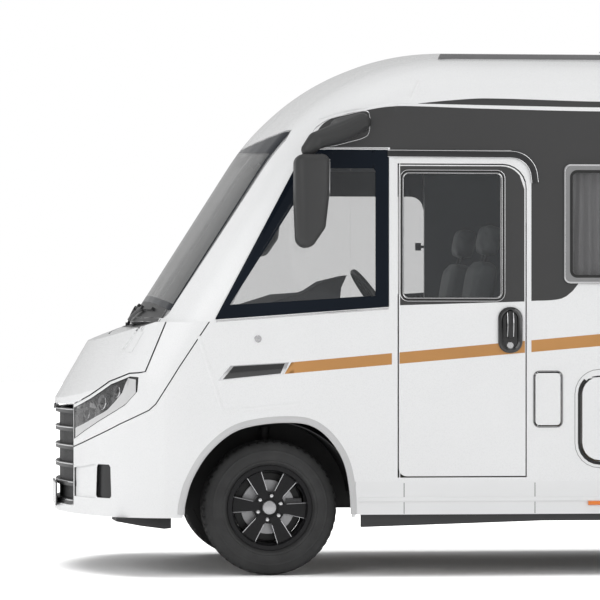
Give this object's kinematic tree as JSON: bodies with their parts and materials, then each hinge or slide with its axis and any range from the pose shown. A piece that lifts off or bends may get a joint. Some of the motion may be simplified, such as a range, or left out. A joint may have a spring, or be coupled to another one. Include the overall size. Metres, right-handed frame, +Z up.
{
  "type": "motorhome",
  "caption": "Integrated-cab motorhome with sloped windscreen, rounded roof dome, steered front wheels, hinged cab and entry doors, bonnet, garage doors and side flaps.",
  "frame": {"origin": "on the ground under the middle of the bounding box", "axes": "+X forward along the length, +Y to the left, +Z up"},
  "size_m": [6.99, 2.9024, 2.875],
  "materials": {
    "body_white": "gloss",
    "dark_trim": "matte",
    "glass": "clear, tinted",
    "steel": "satin",
    "engine": "rough",
    "seat": "woven",
    "wood": "satin",
    "red_lamp": "gloss",
    "tyre": "matte",
    "rim": "black lacquer"
  },
  "bodies": {
    "body": {"chassis_frame": "steel", "floor_panel": "wood", "wall_left": "body_white", "wall_right": "body_white", "wall_rear": "body_white", "roof_panel": "body_white", "cab_top": "body_white", "front_mask": "body_white", "wing_left": "body_white", "wing_right": "body_white", "front_bumper": "body_white", "cab_glazing": "glass", "grille": "dark_trim", "headlamp_bowls": "dark_trim", "headlamp_lenses": "glass", "wipers": "dark_trim", "mirrors": "dark_trim", "dashboard": "dark_trim", "steering_wheel": "dark_trim", "cab_seats": "seat", "interior_units": "wood", "side_skirts": "body_white", "sills": "dark_trim", "roof_rails": "dark_trim", "roof_lights": "glass", "window_frames": "dark_trim", "window_panes": "glass", "engine_block": "engine", "front_axle": "steel", "rear_axle": "steel", "underfloor_tanks": "dark_trim", "rear_bumper": "body_white", "rear_lamps": "red_lamp", "wheel_liners": "dark_trim"},
    "bonnet": {"bonnet": "body_white"},
    "knuckle_left": {"knuckle_left": "steel"},
    "knuckle_right": {"knuckle_right": "steel"},
    "wheel_front_left": {"tyre_front_left": "tyre", "rim_front_left": "rim"},
    "wheel_front_right": {"tyre_front_right": "tyre", "rim_front_right": "rim"},
    "wheel_rear_left": {"tyre_rear_left": "tyre", "rim_rear_left": "rim"},
    "wheel_rear_right": {"tyre_rear_right": "tyre", "rim_rear_right": "rim"},
    "driver_door": {"driver_door": "body_white", "driver_door_glass": "glass", "driver_door_handle": "dark_trim"},
    "entry_door": {"entry_door": "body_white", "entry_door_glass": "glass"},
    "garage_door_left": {"garage_door_left": "body_white"},
    "garage_door_right": {"garage_door_right": "body_white"},
    "locker_flap": {"locker_flap": "body_white"},
    "service_flap": {"service_flap": "body_white"}
  },
  "joints": [
    {"name": "steer_left", "type": "hinge", "parent": "body", "child": "knuckle_left", "pos_m": [2.4, 0.76, 0.355], "axis": [0, 0, 1], "range_deg": [-33, 33]},
    {"name": "steer_right", "type": "hinge", "parent": "body", "child": "knuckle_right", "pos_m": [2.4, -0.76, 0.355], "axis": [0, 0, 1], "range_deg": [-33, 33]},
    {"name": "spin_front_left", "type": "hinge", "parent": "knuckle_left", "child": "wheel_front_left", "pos_m": [2.4, 0.853, 0.355], "axis": [0, 1, 0], "continuous": true},
    {"name": "spin_front_right", "type": "hinge", "parent": "knuckle_right", "child": "wheel_front_right", "pos_m": [2.4, -0.853, 0.355], "axis": [0, 1, 0], "continuous": true},
    {"name": "spin_rear_left", "type": "hinge", "parent": "body", "child": "wheel_rear_left", "pos_m": [-1.525, 0.853, 0.355], "axis": [0, 1, 0], "continuous": true},
    {"name": "spin_rear_right", "type": "hinge", "parent": "body", "child": "wheel_rear_right", "pos_m": [-1.525, -0.853, 0.355], "axis": [0, 1, 0], "continuous": true},
    {"name": "bonnet_hinge", "type": "hinge", "parent": "body", "child": "bonnet", "pos_m": [3.487, 0, 0.878], "axis": [0, 1, 0], "range_deg": [0, 65]},
    {"name": "driver_door_hinge", "type": "hinge", "parent": "body", "child": "driver_door", "pos_m": [1.736, 1.13, 1.3], "axis": [0, 0, -1], "range_deg": [0, 70]},
    {"name": "entry_door_hinge", "type": "hinge", "parent": "body", "child": "entry_door", "pos_m": [0.645, -1.13, 1.4], "axis": [0, 0, 1], "range_deg": [0, 90]},
    {"name": "garage_left_hinge", "type": "hinge", "parent": "body", "child": "garage_door_left", "pos_m": [-2.51, 1.13, 1.615], "axis": [1, 0, 0], "range_deg": [0, 90]},
    {"name": "garage_right_hinge", "type": "hinge", "parent": "body", "child": "garage_door_right", "pos_m": [-2.51, -1.13, 1.615], "axis": [-1, 0, 0], "range_deg": [0, 90]},
    {"name": "locker_hinge", "type": "hinge", "parent": "body", "child": "locker_flap", "pos_m": [0.374, 1.13, 1.036], "axis": [1, 0, 0], "range_deg": [0, 90]},
    {"name": "service_hinge", "type": "hinge", "parent": "body", "child": "service_flap", "pos_m": [0.956, 1.13, 1.057], "axis": [1, 0, 0], "range_deg": [0, 90]}
  ],
  "couplings": [
    {"joint": "steer_right", "follows": "steer_left", "ratio": 1}
  ]
}
